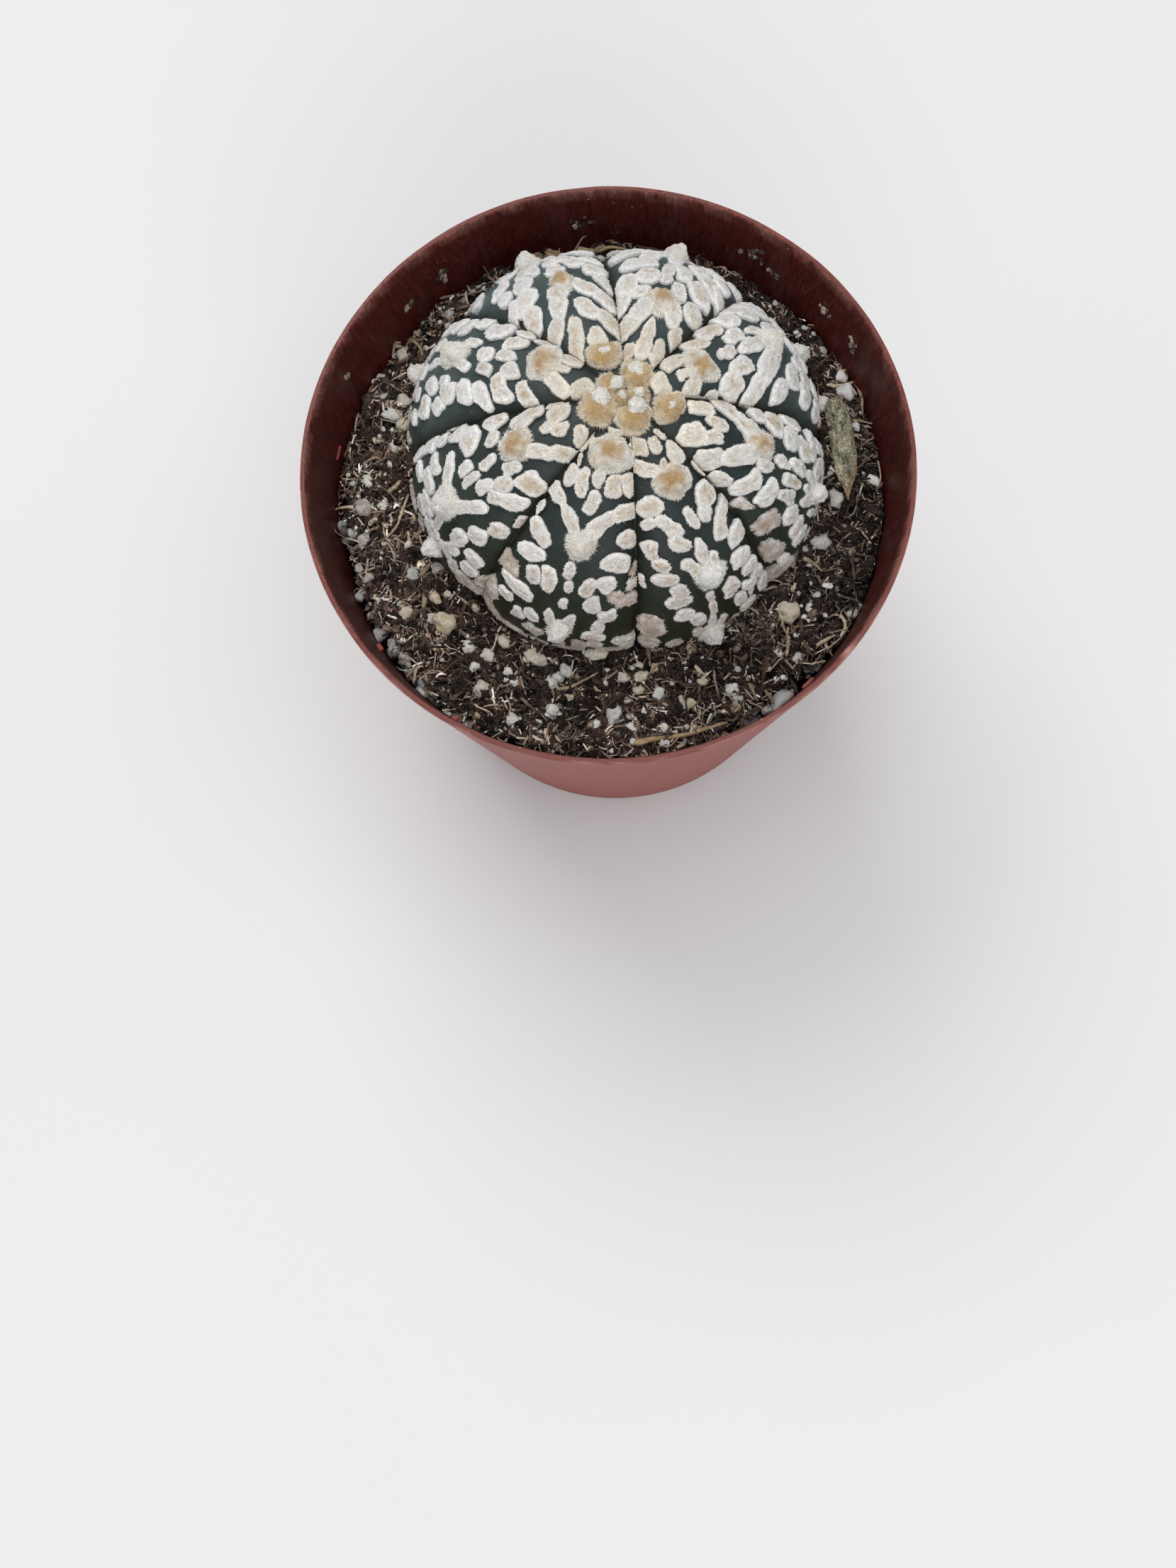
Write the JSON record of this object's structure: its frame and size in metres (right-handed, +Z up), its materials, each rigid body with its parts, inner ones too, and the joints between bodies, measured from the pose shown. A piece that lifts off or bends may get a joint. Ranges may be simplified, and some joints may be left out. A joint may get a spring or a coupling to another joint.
{
  "type": "potted star cactus",
  "caption": "Low ribbed star cactus with woolly white flecks, growing in peaty soil in a small round plastic nursery pot.",
  "frame": {"origin": "centre of the pot's foot, on the surface it stands on", "axes": "+Z up along the pot's centre line; the picture looks towards +Y and down; +X is to the picture's right"},
  "size_m": [0.102, 0.102, 0.1056],
  "materials": {
    "pot_plastic": "satin",
    "potting_soil": "matte",
    "cactus_flesh": "matte",
    "dry_husk": "matte",
    "bark": "matte",
    "twig": "matte",
    "rootlet": "matte"
  },
  "bodies": {
    "root": {"pot": "pot_plastic", "soil": "potting_soil", "cactus": "cactus_flesh", "dry_husk": "dry_husk", "bark_chip_1": "bark", "bark_chip_2": "bark", "front_twig": "twig", "back_rootlet": "rootlet"}
  },
  "joints": []
}
